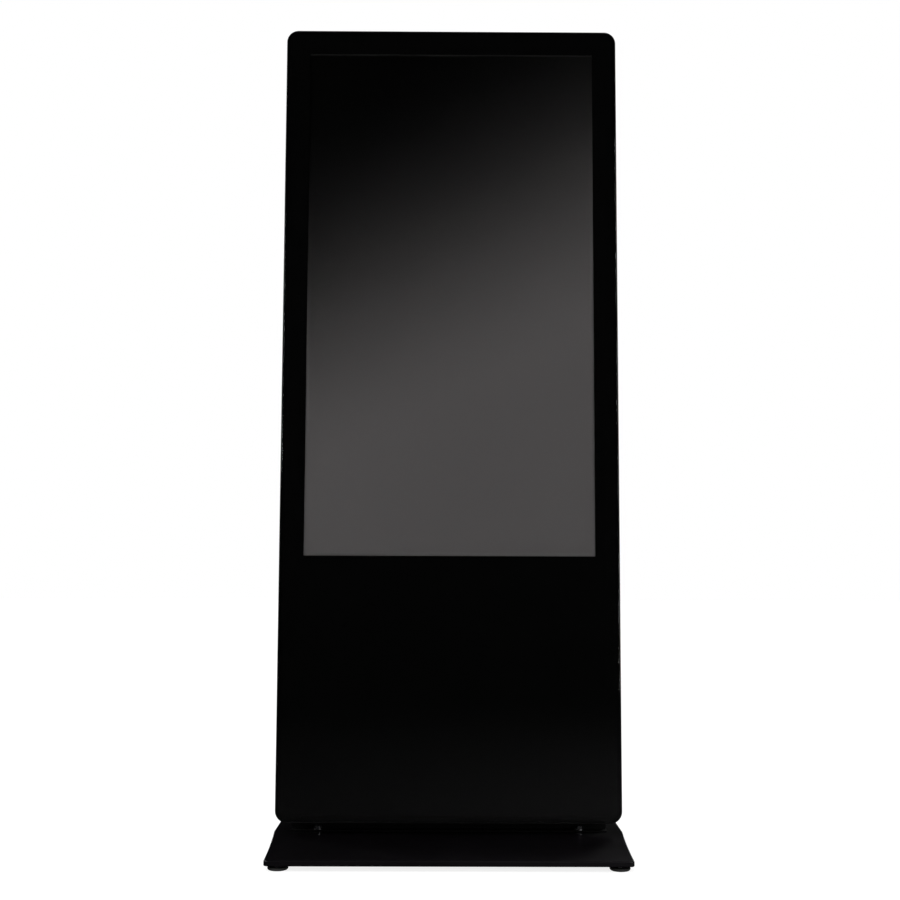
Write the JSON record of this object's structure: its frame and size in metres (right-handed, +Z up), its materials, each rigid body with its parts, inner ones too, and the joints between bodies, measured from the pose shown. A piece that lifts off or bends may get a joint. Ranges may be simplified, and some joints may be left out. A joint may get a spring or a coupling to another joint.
{
  "type": "touchscreen kiosk",
  "caption": "Floor-standing portrait touchscreen kiosk: slab cabinet with a full-height black glass front on a flat base plate, with a hinged service door behind.",
  "frame": {"origin": "on the floor, under the middle of the base plate", "axes": "+Z up, +X to the viewer's right, +Y to the back; the glass front faces -Y"},
  "size_m": [0.8106, 0.5, 1.9265],
  "materials": {
    "glass": "clear toughened glass, polished edges",
    "black_print": "opaque black print under the glass",
    "touch_film": "clear conductive film",
    "foam_tape": "black foam bonding tape",
    "lcd": "dark grey polariser, switched off",
    "diffuser": "milky acrylic",
    "circuit_board": "solder-masked board",
    "zinc_steel": "galvanised sheet steel",
    "black_frame": "gloss black painted extrusion",
    "black_corner": "gloss black painted casting",
    "black_powder": "fine-textured black powder coat",
    "steel_fixings": "bright zinc plate",
    "black_fixings": "black zinc",
    "chrome": "polished",
    "io_plate": "dark grey powder coat",
    "black_plastic": "moulded black",
    "gloss_black_plastic": "moulded black",
    "port_metal": "nickel shells",
    "player_case": "black anodised",
    "supply_case": null,
    "cable_jacket": "black sleeving",
    "base_paint": "satin black paint",
    "plinth_paint": "matt black powder coat",
    "bright_bolts": "bright zinc plate",
    "foot_rubber": "moulded black"
  },
  "bodies": {
    "cabinet": {"front_glass": "glass", "black_border": "black_print", "touch_sensor": "touch_film", "glass_tape": "foam_tape", "lcd_cell": "lcd", "diffuser": "diffuser", "led_bars": "circuit_board", "backlight_tray": "zinc_steel", "panel_retainers": "zinc_steel", "panel_screws": "steel_fixings", "frame_left": "black_frame", "frame_right": "black_frame", "frame_top": "black_frame", "frame_bottom": "black_frame", "frame_corners": "black_corner", "crossbar_lower": "zinc_steel", "crossbar_middle": "zinc_steel", "crossbar_upper": "zinc_steel", "mast_left": "zinc_steel", "mast_right": "zinc_steel", "floor_pan": "black_powder", "rear_panel_top": "black_powder", "rear_panel_left": "black_powder", "rear_panel_right": "black_powder", "rear_screws": "black_fixings", "upper_rear_cover": "black_powder", "lower_rear_cover": "black_powder", "hinge_fixed_leaves": "black_fixings", "hinge_pins": "steel_fixings", "lock_keeper": "zinc_steel", "io_panel": "io_plate", "inlet_module": "black_plastic", "port_block": "port_metal", "equipment_plate": "zinc_steel", "media_player": "player_case", "power_supply": "supply_case", "control_board": "circuit_board", "touch_controller": "circuit_board", "speaker_left": "black_plastic", "speaker_right": "black_plastic", "fan_frame_left": "black_plastic", "fan_frame_right": "black_plastic", "wiring_loom": "cable_jacket", "base_plate": "base_paint", "plinth": "plinth_paint", "plinth_bolts": "bright_bolts", "foot_lock_nuts": "steel_fixings"},
    "door": {"service_door": "black_powder", "hinge_door_leaves": "black_fixings", "lock_housing": "chrome"},
    "lock": {"lock_plug": "chrome", "lock_cam": "zinc_steel"},
    "fan_left": {"fan_rotor_left": "black_plastic"},
    "fan_right": {"fan_rotor_right": "black_plastic"},
    "rocker": {"rocker_key": "gloss_black_plastic"},
    "button": {"power_button": "steel_fixings"},
    "foot_front_left": {"foot_front_left": "foot_rubber"},
    "foot_front_right": {"foot_front_right": "foot_rubber"},
    "foot_rear_left": {"foot_rear_left": "foot_rubber"},
    "foot_rear_right": {"foot_rear_right": "foot_rubber"}
  },
  "joints": [
    {"name": "service_door_hinge", "type": "hinge", "parent": "cabinet", "child": "door", "pos_m": [-0.3685, 0.05, 0.401], "axis": [0, 0, 1], "range_deg": [0, 110]},
    {"name": "cam_lock_turn", "type": "hinge", "parent": "door", "child": "lock", "pos_m": [0.262, 0.1, 0.4], "axis": [0, -1, 0], "range_deg": [0, 90]},
    {"name": "fan_left_spin", "type": "hinge", "parent": "cabinet", "child": "fan_left", "pos_m": [-0.11, 0.1, 1.765], "axis": [0, 1, 0], "continuous": true},
    {"name": "fan_right_spin", "type": "hinge", "parent": "cabinet", "child": "fan_right", "pos_m": [0.11, 0.1, 1.765], "axis": [0, 1, 0], "continuous": true},
    {"name": "mains_rocker", "type": "hinge", "parent": "cabinet", "child": "rocker", "pos_m": [-0.042, 0.112, 0.105], "axis": [1, 0, 0], "range_deg": [0, 18]},
    {"name": "power_button_press", "type": "slide", "parent": "cabinet", "child": "button", "axis": [0, -1, 0], "range_m": [0, 0.002], "stiffness_N_per_m": 150, "springref_m": -0.003},
    {"name": "foot_front_left_level", "type": "slide", "parent": "cabinet", "child": "foot_front_left", "axis": [0, 0, -1], "range_m": [0, 0.005]},
    {"name": "foot_front_right_level", "type": "slide", "parent": "cabinet", "child": "foot_front_right", "axis": [0, 0, -1], "range_m": [0, 0.005]},
    {"name": "foot_rear_left_level", "type": "slide", "parent": "cabinet", "child": "foot_rear_left", "axis": [0, 0, -1], "range_m": [0, 0.005]},
    {"name": "foot_rear_right_level", "type": "slide", "parent": "cabinet", "child": "foot_rear_right", "axis": [0, 0, -1], "range_m": [0, 0.005]}
  ]
}
